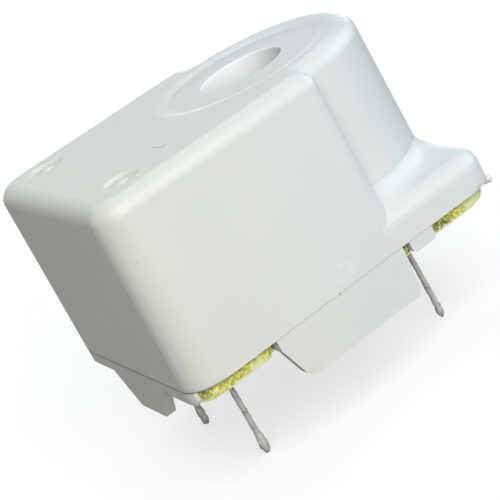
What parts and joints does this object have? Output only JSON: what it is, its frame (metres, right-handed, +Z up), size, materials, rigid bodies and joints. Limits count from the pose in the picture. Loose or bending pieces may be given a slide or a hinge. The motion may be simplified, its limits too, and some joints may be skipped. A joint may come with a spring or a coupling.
{
  "type": "piezo buzzer",
  "caption": "Self-driven piezo buzzer for a circuit board: pale moulded case with a round sound chamber and top outlet, stand-off tabs and round solder pins.",
  "frame": {"origin": "centre of the four pins, in the seating plane touched by the stand-off tabs", "axes": "+X along the case towards the round sound chamber, +Y across it, +Z up through the sound outlet; the pins point to -Z"},
  "size_m": [0.0241, 0.0194, 0.0205],
  "materials": {
    "case_plastic": "pale grey moulded plastic, soft satin",
    "base_plastic": "pale grey moulded plastic, soft satin",
    "board_laminate": "olive yellow laminate with a rough edge",
    "brass_plate": "rolled brass",
    "piezo_ceramic": "fired ceramic",
    "silicone": "cured white silicone",
    "lead_black": "insulated lead",
    "lead_red": "insulated lead",
    "lead_blue": "insulated lead",
    "solder": "dull solder",
    "ferrite": "fired ferrite",
    "enamelled_wire": "enamelled copper wire",
    "moulded_black": "moulded epoxy",
    "resistor_glaze": "glazed chip",
    "tinned_cap": "tinned end cap",
    "tinned_wire": "dull tinned wire"
  },
  "bodies": {
    "root": {"base_frame": "base_plastic", "case": "case_plastic", "circuit_board": "board_laminate", "coil_core": "ferrite", "coil_pin_1": "tinned_wire", "coil_pin_2": "tinned_wire", "coil_solder_1": "solder", "coil_solder_2": "solder", "coil_winding": "enamelled_wire", "disc_seal": "silicone", "drive_bead_board": "solder", "drive_bead_disc": "solder", "drive_lead": "lead_red", "feedback_bead_board": "solder", "feedback_bead_disc": "solder", "feedback_lead": "lead_blue", "piezo_ceramic": "piezo_ceramic", "piezo_plate": "brass_plate", "pin_back_left": "tinned_wire", "pin_back_right": "tinned_wire", "pin_front_left": "tinned_wire", "pin_front_right": "tinned_wire", "pin_solder_back_left": "solder", "pin_solder_back_right": "solder", "pin_solder_front_left": "solder", "pin_solder_front_right": "solder", "plate_bead_board": "solder", "plate_bead_disc": "solder", "plate_lead": "lead_black", "resistor_1_body": "resistor_glaze", "resistor_1_cap_a": "tinned_cap", "resistor_1_cap_b": "tinned_cap", "resistor_2_body": "resistor_glaze", "resistor_2_cap_a": "tinned_cap", "resistor_2_cap_b": "tinned_cap", "resistor_3_body": "resistor_glaze", "resistor_3_cap_a": "tinned_cap", "resistor_3_cap_b": "tinned_cap", "transistor_body": "moulded_black", "transistor_leg_1": "tinned_wire", "transistor_leg_2": "tinned_wire", "transistor_leg_3": "tinned_wire", "transistor_solder_1": "solder", "transistor_solder_2": "solder", "transistor_solder_3": "solder"}
  },
  "joints": []
}
